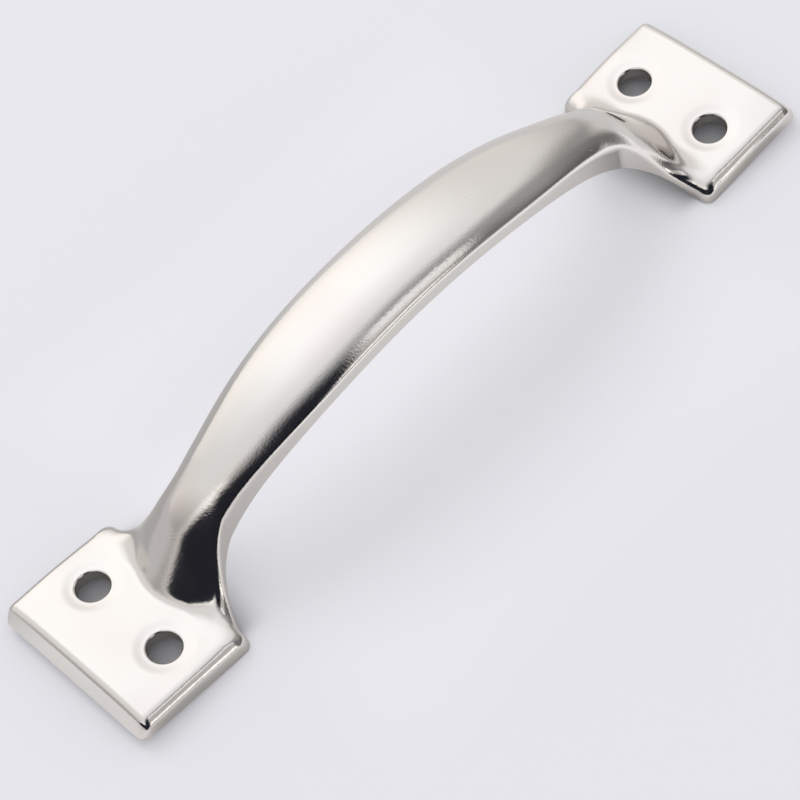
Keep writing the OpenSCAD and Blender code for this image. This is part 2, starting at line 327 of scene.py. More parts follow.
@dataclass(frozen=True)
class Pressing:
    """The pressed sheet as a whole: its outer face and its lining over one quarter.

    The spans say where a feature comes in: along X or Y in millimetres, or along the row or
    column parameter for the thinning of the sheet over its tight bends.
    """

    line: BowLine = BowLine()
    section: BowSection = BowSection()
    foot: FootForm = FootForm()
    hole: HoleForm = HoleForm()
    length: float = 150.0
    sheet: float = 0.9
    bend_thinning: float = 0.45
    bend_end: float = 0.6
    bend_most: float = 0.8
    mid_tip_x: float = 55.5
    mid_tip_run: float = 0.5
    mid_tip_late: float = 1.6
    crown_out: Span = Span(-2.0, 11.0)
    bulge_in: Span = Span(28.0, 24.0)
    side_fillet_in: Span = Span(5.0, 7.0)
    dome_in: Span = Span(50.0, 8.0)
    dip_across: Span = Span(9.0, 7.0)
    dip_along: Span = Span(64.0, 9.0)
    thin_flare_in: Span = Span(1.0, 0.15)
    thin_flare_out: Span = Span(1.95, -0.3)
    thin_crest_in: Span = Span(3.95, 0.1)
    thin_bend_in: Span = Span(0.85, 0.2)
    thin_bend_out: Span = Span(2.05, -0.35)
    slope_step: float = 0.05
    dish_step: float = 0.01
    grid_step: float = 0.004

    @property
    def half_l(self) -> float:
        """Half length over both feet."""
        return self.length / 2

    @property
    def half_w(self) -> float:
        """Half width of a foot."""
        return self.foot.foot_w / 2

    @property
    def crest_start(self) -> float:
        """Where the bend over the end face begins."""
        return self.foot.crest_x - self.foot.crest_w

    def face_z(self, x: Array, y: Array, dished: bool = True) -> Array:
        """Height of the upper face over the plan, before the feet are tilted.

        Args:
            x: Positions along the handle.
            y: Positions across it.
            dished: Whether the dishes round the holes are pressed in.

        Returns:
            Heights.
        """
        s, ft = self.section, self.foot
        ax, ay = np.abs(x), np.abs(y)
        past = ax - s.waist_x
        edge_y = s.half_width(np.minimum(ax, s.waist_x)) - s.crown_inset
        fall = s.crown_rise * (1 - self.crown_out.smooth(past)) * (ay / edge_y) ** s.crown_square
        crown = np.where(past < self.crown_out.start + self.crown_out.run, fall, 0.0)
        bulge = self.line.fillet_bulge * ay * ay * self.bulge_in.smooth(ax)
        dip = ft.corner_dip * self.dip_across.smooth(ay) * self.dip_along.smooth(ax)
        z = self.line.height(ax + bulge, self.side_fillet_in.smooth(ay)) - crown
        z = z - self.dome_in.smooth(ax) * (ft.plate_dome * ay * ay / ft.dome_reach**2 + dip)
        return z - self.hole.dish(ax, ay) if dished else z

    def plate_z(self, x: Array, y: Array) -> Array:
        """Height of the upper face over the plan, dishes and tilt included."""
        return self.face_z(x, y) + self.foot.lift(x)

    def plate_normal(self, x: Array, y: Array) -> Array:
        """Direction out of the plate, dishes and tilt included.

        Args:
            x: Positions along the handle.
            y: Positions across it.

        Returns:
            Directions, one unit long.
        """
        e = self.dish_step
        fall_x = (self.plate_z(x - e, y) - self.plate_z(x + e, y)) / (2 * e)
        fall_y = (self.plate_z(x, y - e) - self.plate_z(x, y + e)) / (2 * e)
        return unit(np.stack([fall_x, fall_y, np.ones_like(x)], -1))

    def rows(self, u: Array) -> tuple[Array, ...]:
        """Plan of each row: shoulder, edge, middle and how far down the end face it lies.

        Args:
            u: Row parameter, one unit for each zone.

        Returns:
            Shoulder x and y, edge x and y, middle x and end share, one value a row.
        """
        s, ft = self.section, self.foot
        top_x = ft.tip_x + ft.side_round + ft.tip_top_r
        shoulder_y, low_y = self.half_w - ft.side_round, s.waist_w / 2
        flare, tip, side, end = (clip(u - z.value) for z in (Zone.FLARE, Zone.TIP, Zone.SIDE, Zone.END))
        x = s.waist_x * np.where(u <= 1, u, 1.0)
        y = s.half_width(x)
        power = 2 / ft.flare_n
        sn = np.sin(math.pi / 2 * flare) ** power
        cs = np.maximum(np.cos(math.pi / 2 * flare), 0) ** power
        edge_end, top_end = self.half_w - ft.tip_r, shoulder_y - ft.tip_top_r
        turn = math.pi / 2 * tip
        side_x = top_x + (self.crest_start - top_x) * side
        full = np.ones_like(u)
        crest = self.crest_start * full
        return (
            by_zone(u, x, s.waist_x + (ft.tip_x + ft.side_round - s.waist_x) * sn,
                    ft.tip_x + ft.side_round + ft.tip_top_r * (1 - np.cos(turn)), side_x, crest),
            by_zone(u, y - s.fold_w, top_end - (top_end - (low_y - s.fold_w)) * cs,
                    top_end + ft.tip_top_r * np.sin(turn), shoulder_y * full, shoulder_y * full),
            by_zone(u, x, s.waist_x + (ft.tip_x - s.waist_x) * sn,
                    ft.tip_x + ft.tip_r * (1 - np.cos(turn)),
                    side_x + (ft.tip_x + ft.tip_r - top_x) * (1 - side) ** 2, crest),
            by_zone(u, y, edge_end - (edge_end - low_y) * cs, edge_end + ft.tip_r * np.sin(turn),
                    self.half_w * full, self.half_w * full),
            by_zone(u, x, s.waist_x + (self.mid_tip_x - s.waist_x) * (1 - (1 - flare) ** self.mid_tip_late),
                    self.mid_tip_x + self.mid_tip_run * tip,
                    side_x + (self.mid_tip_x + self.mid_tip_run - top_x) * (1 - side) ** 3, crest),
            end,
        )

    def edge_z(self, u: Array, x: Array) -> Array:
        """Height of the lower edge of each row.

        Args:
            u: Row parameters.
            x: Where the edge of each row lies along the handle.

        Returns:
            Heights, zero from the inner tips on.
        """
        s, ft = self.section, self.foot
        a2, a4 = s.lip_terms()
        slope = 2 * a2 * s.waist_x + 4 * a4 * s.waist_x**3
        keep = -slope * (ft.tip_x - s.waist_x) / s.lip_waist
        sn = np.sin(math.pi / 2 * clip(u - 1)) ** (2 / ft.flare_n)
        flare = s.lip_waist * (1 - keep * sn - (1 - keep) * sn**s.lip_late)
        return np.select([u <= 1, u <= 2], [s.lip_mid + a2 * x**2 + a4 * x**4, flare], 0.0)

    def wall(self, w: Array, reach: Array, slope: Array, run: Array, fall: Array) -> tuple[Array, Array]:
        """Rounded shoulder followed by a straight wall.

        Args:
            w: Share of the way down, 0 to 1.
            reach: Width of the bend.
            slope: Fall of the face that runs into it.
            run: Whole run outwards.
            fall: Whole fall.

        Returns:
            Run and fall at w, zero where w is.
        """
        top = np.stack(np.broadcast_arrays(reach + 0 * w, reach * slope + 0 * w), -1)
        whole = np.stack(np.broadcast_arrays(run + 0 * w, fall + 0 * w), -1)
        low = whole - top
        top_l, low_l = (np.linalg.norm(v, axis=-1, keepdims=True) for v in (top, low))
        cut = np.minimum(top_l, self.bend_most * low_l)
        end, start = top + low / low_l * cut, top * (1 - cut / top_l)
        weight = np.sqrt((1 + (top * low).sum(-1, keepdims=True) / (top_l * low_l)) / 2)
        t = clip(w / self.bend_end)[..., None]
        den = (1 - t) ** 2 + 2 * weight * t * (1 - t) + t * t
        bend = ((1 - t) ** 2 * start + 2 * weight * t * (1 - t) * top + t * t * end) / den
        r = clip((w - self.bend_end) / (1 - self.bend_end))[..., None]
        out = np.where(r > 0, end + (whole - end) * r, bend)
        return np.where(w > 0, out[..., 0], 0.0), np.where(w > 0, out[..., 1], 0.0)

    def outer(self, u: Array, v: Array) -> Array:
        """Points of the outer face.

        Args:
            u: Row parameters.
            v: Column parameters, 0 to 1 over the face to its shoulder, to 2 down the wall.

        Returns:
            Points in rows and columns.
        """
        ft, step = self.foot, self.slope_step
        top_x, top_y, low_x, low_y, mid_x, end = (a[:, None] for a in self.rows(u))
        c, w = clip(v)[None], clip(v - 1)[None]
        x, y = mid_x + (top_x - mid_x) * c * c, top_y * c
        run = np.hypot(low_x - top_x, low_y - top_y)
        out_x, out_y = (low_x - top_x) / run, (low_y - top_y) / run
        top_z = self.face_z(top_x, top_y, False)
        slope = (top_z - self.face_z(top_x + step * out_x, top_y + step * out_y, False)) / step
        low_z = self.edge_z(u[:, None], low_x)
        wall_draft = self.section.wall_draft
        draft = wall_draft + (ft.side_draft - wall_draft) * clip(u[:, None] - 1)
        go, drop = self.wall(w + 0 * top_x, run - draft, slope, run, top_z - low_z)
        z = np.where(w > 0, top_z - drop, self.face_z(x, y))
        end_z = self.face_z(top_x, 0 * top_x, False)
        end_slope = (end_z - self.face_z(top_x + step, 0 * top_x, False)) / step
        end_go, end_drop = self.wall(end, ft.crest_w, end_slope, self.half_l - self.crest_start, end_z)
        x, y, z = x + out_x * go + end_go, y + out_y * go, z * (1 - end_drop / end_z)
        a, b = x - (self.half_l - ft.corner_r), y - (self.half_w - ft.corner_r)
        corner, twice = (a > 0) & (b > 0), 2 * ft.corner_r**2
        round_x = self.half_l - ft.corner_r + a * np.sqrt(np.maximum(1 - b * b / twice, 0))
        round_y = self.half_w - ft.corner_r + b * np.sqrt(np.maximum(1 - a * a / twice, 0))
        x, y = np.where(corner, round_x, x), np.where(corner, round_y, y)
        return np.stack([x, y, z + ft.lift(x)], -1)

    def outward(self, u: Array, v: Array) -> Array:
        """Direction straight out of the outer face.

        Args:
            u: Row parameters.
            v: Column parameters.

        Returns:
            Directions in rows and columns, one unit long.
        """
        e = self.grid_step
        along = self.outer(np.minimum(u + e, 5), v) - self.outer(u - e, v)
        across = self.outer(u, np.minimum(v + e, 2)) - self.outer(u, np.maximum(v - e, 0))
        n = unit(np.cross(along, across))
        n[u == 0, :, 0] = 0
        n[:, v == 0, 1] = 0
        x, y, _ = self.outer(u[-1:], v[-1:])[0, 0]
        n[-1, -1] = [x - self.half_l + self.foot.corner_r, y - self.half_w + self.foot.corner_r, 0]
        return unit(n)

    def lining(self, u: Array, v: Array, outer: Array, outward: Array) -> Array:
        """Points of the lining: the outer face moved in by the sheet, less over tight bends.

        Args:
            u: Row parameters.
            v: Column parameters.
            outer: Points of the outer face.
            outward: Directions out of it.

        Returns:
            Points in rows and columns.
        """
        along = self.thin_flare_in.straight(u) * self.thin_flare_out.straight(u)
        along = along + self.thin_crest_in.straight(u)
        across = self.thin_bend_in.straight(v) * self.thin_bend_out.straight(v)
        n = outward.copy()
        n[-1, :, 2] = 0
        n[:, -1, 2] = 0
        t = self.sheet * (1 - self.bend_thinning * along[:, None] * across[None])
        return outer - t[..., None] * unit(n)


@dataclass
class ScrewHoleMesh:
    """Turned surfaces of one screw hole, set into a gap of the grid on both faces."""

    press: Pressing
    rings: int = 10
    crowding: float = 0.35
    roll_steps: int = 7
    mouth_steps: int = 8
    bore_shares: Triple = (0.33, 0.66, 1.0)

    def rays(self, loop: Array) -> Array:
        """Directions from the hole's centre to a loop of points."""
        return unit(loop[:, :2] - self.press.hole.centre)

    def patch(self, parts: MeshParts, loop: Array, ids: Array, radius: float, face: Face) -> Array:
        """Fills the gap between a loop of the grid and a circle round the hole.

        Args:
            parts: Where the mesh is gathered.
            loop: Points of the loop, anticlockwise from above.
            ids: Their vertex numbers.
            radius: Radius of the circle.
            face: The face that the loop lies on.

        Returns:
            Vertex numbers of the circle.
        """
        pr, under = self.press, face is Face.LINING
        circle = pr.hole.centre + radius * self.rays(loop)
        last = ids
        for k in range(1, self.rings + 1):
            s = ease(np.array(k / self.rings)) * self.crowding + (1 - self.crowding) * k / self.rings
            xy = (1 - s) * loop[:, :2] + s * circle
            z = pr.plate_z(xy[:, 0], xy[:, 1])
            n = pr.plate_normal(xy[:, 0], xy[:, 1])
            if under:
                z = z + (1 - s) * (loop[:, 2] - pr.plate_z(loop[:, 0], loop[:, 1])) - s * pr.sheet
                n = -n
            new = parts.add(np.c_[xy, z], n)
            parts.band(new if under else last, last if under else new, True)
            last = new
        return last

    def profile(self) -> list[tuple[float, float, float, float]]:
        """Section of the hole: rolled edge, straight bore and rounded mouth of the ring.

        Returns:
            Radius, depth under the rim, outward and upward share of the direction of each step.
        """
        h = self.press.hole
        roll, mouth = h.rim_r - h.bore_r, h.collar_t / 2
        deep = h.collar_depth - mouth
        steps = [(h.rim_r - roll * math.sin(a), roll * (1 - math.cos(a)), -math.sin(a), math.cos(a))
                 for a in np.linspace(0, math.pi / 2, self.roll_steps + 1)[1:]]
        steps += [(h.bore_r, roll + (deep - roll) * k, -1.0, 0.0) for k in self.bore_shares]
        for a in np.linspace(0, math.pi, self.mouth_steps + 1)[1:]:
            s, c = math.sin(a), math.cos(a)
            steps.append((h.bore_r + mouth * (1 - c), deep + mouth * s, -c, -s))
        return steps

    def bore(self, parts: MeshParts, loop: Array, top: Array, low: Array) -> None:
        """Joins the circles of the two faces through the hole.

        Args:
            parts: Where the mesh is gathered.
            loop: Points of the outer loop, which give the directions of the circle.
            top: Vertex numbers of the circle on the outer face.
            low: Vertex numbers of the circle on the lining.
        """
        pr, ray = self.press, self.rays(loop)
        rim = pr.hole.centre + pr.hole.rim_r * ray
        rim_z = pr.plate_z(rim[:, 0], rim[:, 1])
        up = pr.plate_normal(rim[:, 0], rim[:, 1])
        out = np.c_[ray, np.zeros(len(ray))]
        last = top
        for radius, down, side, rise in self.profile():
            ring = np.c_[pr.hole.centre + radius * ray, rim_z - down]
            new = parts.add(ring, side * out + rise * up)
            parts.band(last, new, True)
            last = new
        parts.band(last, low, True)


@dataclass
class BowHandle:
    """The whole handle as one closed piece, with its bright finish.

    The tip spans say where the shading is softened, along the row parameter. The hole spans
    keep it as it is beside the screw hole, along X from the gap in the grid and along Y.
    """

    press: Pressing = Pressing()
    grip_rows: int = 52
    flare_rows: int = 44
    tip_rows: int = 9
    side_rows: int = 50
    side_crowding: float = 1.3
    end_rows: int = 14
    face_cols: int = 37
    bend_cols: int = 12
    wall_steps: int = 4
    edge_round: float = 0.12
    gap_margin: float = 5.1
    tip_rounds: int = 18
    tip_in: Span = Span(1.35, 0.4)
    tip_out: Span = Span(3.4, -0.3)
    hole_x: Span = Span(-1.6, 1.4)
    hole_y: Span = Span(1.2, -1.0)

    def steps(self) -> tuple[Array, Array]:
        """Parameters of the fine grid.

        Returns:
            Those of the rows and of the columns.
        """
        bend = self.press.bend_end
        u = [np.array([0.0])]
        u += [np.linspace(zone.value, zone.value + 1, rows + 1)[1:] for zone, rows in
              ((Zone.GRIP, self.grip_rows), (Zone.FLARE, self.flare_rows), (Zone.TIP, self.tip_rows))]
        u.append(Zone.SIDE.value + np.linspace(0, 1, self.side_rows + 1)[1:] ** self.side_crowding)
        crest = Zone.END.value
        u.append(np.linspace(crest, crest + bend, self.end_rows - self.wall_steps + 1)[1:])
        u.append(np.linspace(crest + bend, crest + 1, self.wall_steps + 1)[1:])
        v = [np.linspace(0, 1, self.face_cols + 1), 1 + np.linspace(0, bend, self.bend_cols + 1)[1:],
             1 + np.linspace(bend, 1, self.wall_steps + 1)[1:]]
        return np.concatenate(u), np.concatenate(v)

    def quarter(self) -> MeshParts:
        """Mesh of one quarter: both faces, a screw hole and the free edge.

        Returns:
            The gathered mesh.
        """
        u, v = self.steps()
        outer, n = self.press.outer(u, v), self.press.outward(u, v)
        inner = self.press.lining(u, v, outer, n)
        n = self.softened(u, outer, n)
        for face in (outer, inner):
            face[-1, :, 2] += self.edge_round
            face[:-1, -1, 2] += self.edge_round
        parts = MeshParts()
        top, low = parts.add(outer, n), parts.add(inner, -n)
        gap = self.screw_gap(outer)
        keep = np.ones((len(u) - 1, len(v) - 1), bool)
        keep[gap[0]:gap[1], gap[2]:gap[3]] = False
        i, j = np.nonzero(keep)
        parts.quads(top[i, j], top[i + 1, j], top[i + 1, j + 1], top[i, j + 1])
        parts.quads(low[i, j], low[i, j + 1], low[i + 1, j + 1], low[i + 1, j])
        self.set_hole(parts, outer, inner, top, low, gap)
        self.free_edge(parts, outer, inner, top, low)
        return parts

    def screw_gap(self, outer: Array) -> tuple[int, int, int, int]:
        """Finds the gap that the grid leaves for the screw hole.

        Args:
            outer: Points of the outer face, in rows and columns.

        Returns:
            First and last row, first and last column.
        """
        hx, hy = self.press.hole.centre
        along = outer[:, 0, 0]
        i0, i1 = (int(np.argmin(np.abs(along - hx - s * self.gap_margin))) for s in (-1, 1))
        across = outer[(i0 + i1) // 2, :, 1]
        j0, j1 = (int(np.argmin(np.abs(across - hy - s * self.gap_margin))) for s in (-1, 1))
        return i0, i1, j0, j1

    def set_hole(self, parts: MeshParts, outer: Array, inner: Array, top: Array, low: Array,
                 gap: tuple[int, int, int, int]) -> None:
        """Sets the screw hole into the gap of the grid.

        Args:
            parts: Where the mesh is gathered.
            outer: Grid of the outer face.
            inner: Grid of the lining.
            top: Vertex numbers of the outer face.
            low: Vertex numbers of the lining.
            gap: First and last row, first and last column of the gap.
        """
        i0, i1, j0, j1 = gap
        ring = [(i, j0) for i in range(i0, i1)] + [(i1, j) for j in range(j0, j1)]
        ring += [(i, j1) for i in range(i1, i0, -1)] + [(i0, j) for j in range(j1, j0, -1)]
        ri, rj = np.array(ring).T
        form, hole = self.press.hole, ScrewHoleMesh(self.press)
        over = hole.patch(parts, outer[ri, rj], top[ri, rj], form.rim_r, Face.OUTER)
        under = hole.patch(parts, inner[ri, rj], low[ri, rj], form.bore_r + form.collar_t, Face.LINING)
        hole.bore(parts, outer[ri, rj], over, under)

    def softened(self, u: Array, outer: Array, normals: Array) -> Array:
        """Normals of the outer face with the shading softened round the inner tip.

        Args:
            u: Row parameters.
            outer: Points of the outer face, in rows and columns.
            normals: Directions out of them.

        Returns:
            The softened normals, with those by the screw hole kept.
        """
        hole = self.press.hole
        by_hole = self.hole_x.straight(outer[..., 0] - hole.dx / 2 + self.gap_margin)
        by_hole = by_hole * self.hole_y.straight(outer[..., 1] - hole.dy / 2 - self.gap_margin)
        share = (self.tip_in.straight(u) * self.tip_out.straight(u))[:, None] * (1 - by_hole)
        share = share[1:-1, 1:-1, None]
        n = normals.copy()
        for _ in range(self.tip_rounds):
            blur = n.copy()
            blur[1:-1] = (n[:-2] + 2 * n[1:-1] + n[2:]) / 4
            blur[:, 1:-1] = (blur[:, :-2] + 2 * blur[:, 1:-1] + blur[:, 2:]) / 4
            n[1:-1, 1:-1] += share * (blur - n)[1:-1, 1:-1]
        return unit(n)

    def free_edge(self, parts: MeshParts, outer: Array, inner: Array, top: Array, low: Array) -> None:
        """Closes the cut edge of the sheet with a flat band between two small rounds.

        Args:
            parts: Where the mesh is gathered.
            outer: Grid of the outer face.
            inner: Grid of the lining.
            top: Vertex numbers of the outer face.
            low: Vertex numbers of the lining.
        """
        rows, cols = top.shape
        i = np.r_[np.arange(rows), np.full(cols - 1, rows - 1)]
        j = np.r_[np.full(rows, cols - 1), np.arange(cols - 2, -1, -1)]
        a, b = outer[i, j], inner[i, j]
        inward = unit((b - a) * [1, 1, 0])
        down = np.array([0, 0, -1.0])
        r = self.edge_round
        last = top[i, j]
        for start, side, turns in ((a, 1, (45, 90)), (b, -1, (90, 45))):
            for deg in turns:
                s, c = math.sin(math.radians(deg)), math.cos(math.radians(deg))
                place = start + side * inward * r * (1 - c) + down * r * s
                new = parts.add(place, -side * inward * c + down * s)
                parts.band(last, new, False)
                last = new
        parts.band(last, low[i, j], False)

    def build(self) -> bpy.types.Object:
        """Makes the piece and puts it in place of the plain solid.

        Returns:
            The new object.
        """
        points, normals, faces = self.quarter().mirrored()
        mesh = bpy.data.meshes.new("bow_handle_sheet")
        mesh.from_pydata((points * MM).tolist(), [], faces.tolist())
        mesh.polygons.foreach_set("use_smooth", [True] * len(mesh.polygons))
        mesh.normals_split_custom_set_from_vertices(normals.tolist())
        mesh.update()
        piece = bpy.data.objects.new("bow_handle_sheet", mesh)
        bpy.context.scene.collection.objects.link(piece)
        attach(piece, "root")
        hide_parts("bow_handle")
        return piece

    def dress(self, piece: bpy.types.Object) -> None:
        """Gives the piece its bright finish."""
        piece.data.materials.append(BrightPlate().make())


@dataclass(frozen=True)
class Fade:
    """A smooth change: one result up to a low bound, another from a high bound on."""

    low: float
    high: float
    below: float = 0.0
    above: float = 1.0


class Graph:
    """A small helper that adds and links the nodes of one material or world."""

    def __init__(self, tree: bpy.types.NodeTree) -> None:
        """Starts on a node tree, emptied."""
        self.tree = tree
        tree.nodes.clear()

    def add(self, kind: str, **values: object) -> bpy.types.Node:
        """Adds a node.

        Args:
            kind: The node's type name.
            values: Its properties and unlinked inputs; an input's spaces are underscores.

        Returns:
            The node.
        """
        node = self.tree.nodes.new(kind)
        for name, value in values.items():
            if hasattr(node, name):
                setattr(node, name, value)
            else:
                node.inputs[name.replace("_", " ")].default_value = value
        return node

    def link(self, a: bpy.types.NodeSocket, b: bpy.types.NodeSocket) -> None:
        """Links an output to an input."""
        self.tree.links.new(a, b)

    def fill(self, socket: bpy.types.NodeSocket, value: object) -> None:
        """Links a socket into an input, or sets a number or a colour on it.

        Args:
            socket: The input.
            value: A socket, a number or a colour of three.
        """
        if isinstance(value, bpy.types.NodeSocket):
            self.link(value, socket)
        else:
            socket.default_value = (*value, 1.0) if isinstance(value, tuple) else value

    def math(self, kind: str, *values: object) -> bpy.types.NodeSocket:
        """A Math node.

        Args:
            kind: The operation.
            values: Its values in order, sockets or numbers.

        Returns:
            Its output.
        """
        node = self.add("ShaderNodeMath", operation=kind)
        for socket, value in zip(node.inputs, values):
            self.fill(socket, value)
        return node.outputs[0]

    def times(self, a: object, b: object) -> bpy.types.NodeSocket:
        """Product of two values."""
        return self.math("MULTIPLY", a, b)

    def times_plus(self, a: object, b: object, c: object) -> bpy.types.NodeSocket:
        """Product of the first two values, plus the third."""
        return self.math("MULTIPLY_ADD", a, b, c)

    def rest(self, share: bpy.types.NodeSocket) -> bpy.types.NodeSocket:
        """What a share leaves of one."""
        return self.math("SUBTRACT", 1.0, share)

    def away(self, value: bpy.types.NodeSocket, middle: float) -> bpy.types.NodeSocket:
        """How far a value lies from a middle, to either side."""
        return self.math("ABSOLUTE", self.math("SUBTRACT", value, middle))

    def fade(self, value: bpy.types.NodeSocket, fade: Fade) -> bpy.types.NodeSocket:
        """Smooth change of a value between two bounds.

        Args:
            value: What is mapped.
            fade: The bounds and results.

        Returns:
            The mapped value.
        """
        node = self.add("ShaderNodeMapRange", interpolation_type="SMOOTHSTEP", From_Min=fade.low,
                        From_Max=fade.high, To_Min=fade.below, To_Max=fade.above)
        self.link(value, node.inputs["Value"])
        return node.outputs["Result"]

    def mix(self, share: bpy.types.NodeSocket, a: object, b: object) -> bpy.types.NodeSocket:
        """Mixes two colours by a share.

        Args:
            share: 0 for the first, 1 for the second.
            a: First colour, a socket or a tuple.
            b: Second colour.

        Returns:
            The mixed colour.
        """
        node = self.add("ShaderNodeMix", data_type="RGBA")
        self.link(share, node.inputs[0])
        self.fill(node.inputs[6], a)
        self.fill(node.inputs[7], b)
        return node.outputs[2]

    def mirrored(self, ray: bpy.types.Node) -> bpy.types.NodeSocket:
        """1 for a ray that comes by way of polished metal or glass."""
        return self.math("MAXIMUM", ray.outputs["Is Glossy Ray"], ray.outputs["Is Transmission Ray"])


@dataclass(frozen=True)
class BrightPlate:
    """Polished plate with faint cross brushing, fine grain, a few scratches and soft waves.

    Depths are in metres, scales in waves per metre along X, Y and Z.
    """

    colour: Triple = (0.72, 0.70, 0.68)
    blush: Triple = (0.71, 0.672, 0.65)
    rough_low: float = 0.07
    rough_high: float = 0.15
    rough_scratch: float = 0.12
    brush_depth: float = 0.0000035
    grain_depth: float = 0.000011
    wave_depth: float = 0.00005
    scratch_depth: float = 0.000008
    brush_scale: Triple = (9000.0, 260.0, 2500.0)
    grain_scale: Triple = (3000.0, 3000.0, 3000.0)
    wave_scale: Triple = (85.0, 85.0, 85.0)
    cloud_scale: Triple = (55.0, 70.0, 55.0)
    cloud_in: Fade = Fade(0.45, 0.70)
    scratch_sets: tuple[tuple[float, Triple], ...] = (
        (0.6, (1200.0, 110.0, 400.0)),
        (1.45, (90.0, 1300.0, 500.0)),
    )
    scratch_width: Fade = Fade(0.10, 0.26, 1.0, 0.0)
    scratch_share: Fade = Fade(0.972, 0.98)

    def make(self) -> bpy.types.Material:
        """Builds the material.

        Returns:
            The material.
        """
        mat = bpy.data.materials.new("bright_plate")
        mat.use_nodes = True
        g = Graph(mat.node_tree)
        place = g.add("ShaderNodeTexCoord").outputs["Object"]
        brush = self.noise(g, place, self.brush_scale, 2.0)
        grain = self.noise(g, place, self.grain_scale, 1.0)
        wave = self.noise(g, place, self.wave_scale, 1.0)
        cloud = self.noise(g, place, self.cloud_scale, 1.0)
        scratch = self.scratches(g, place)
        shader = g.add("ShaderNodeBsdfPrincipled", Metallic=1.0)
        g.link(g.mix(g.fade(cloud, self.cloud_in), self.colour, self.blush), shader.inputs["Base Color"])
        rough = g.times_plus(grain, self.rough_high - self.rough_low, self.rough_low)
        g.link(g.times_plus(scratch, self.rough_scratch, rough), shader.inputs["Roughness"])
        height = g.times(brush, self.brush_depth)
        height = g.times_plus(grain, self.grain_depth, height)
        height = g.times_plus(wave, self.wave_depth, height)
        height = g.times_plus(scratch, -self.scratch_depth, height)
        bump = g.add("ShaderNodeBump", Strength=1.0, Distance=1.0)
        g.link(height, bump.inputs["Height"])
        g.link(bump.outputs["Normal"], shader.inputs["Normal"])
        out = g.add("ShaderNodeOutputMaterial")
        g.link(shader.outputs["BSDF"], out.inputs["Surface"])
        return mat

    def noise(self, g: Graph, place: bpy.types.NodeSocket, scale: Triple,
              detail: float) -> bpy.types.NodeSocket:
        """Noise with its own scale along each axis.

        Args:
            g: The material's graph.
            place: Position socket.
            scale: Scale along X, Y and Z.
            detail: Octaves.

        Returns:
            The noise, about 0 to 1.
        """
        fit = g.add("ShaderNodeMapping", Scale=scale)
        g.link(place, fit.inputs["Vector"])
        node = g.add("ShaderNodeTexNoise", Scale=1.0, Detail=detail, Roughness=0.5)
        g.link(fit.outputs["Vector"], node.inputs["Vector"])
        return node.outputs["Fac"]

    def scratches(self, g: Graph, place: bpy.types.NodeSocket) -> bpy.types.NodeSocket:
        """Short fine scratches, few and far between.

        Args:
            g: The material's graph.
            place: Position socket.

        Returns:
            1 in a scratch and 0 elsewhere.
        """
        marks = []
        for turn, stretch in self.scratch_sets:
            fit = g.add("ShaderNodeMapping", Rotation=(0.0, 0.0, turn), Scale=stretch)
            g.link(place, fit.inputs["Vector"])
            cells = g.add("ShaderNodeTexVoronoi", Scale=1.0, Randomness=1.0)
            g.link(fit.outputs["Vector"], cells.inputs["Vector"])
            split = g.add("ShaderNodeSeparateColor")
            g.link(cells.outputs["Color"], split.inputs["Color"])
            line = g.fade(cells.outputs["Distance"], self.scratch_width)
            marks.append(g.times(line, g.fade(split.outputs["Red"], self.scratch_share)))
        return g.math("MAXIMUM", *marks)


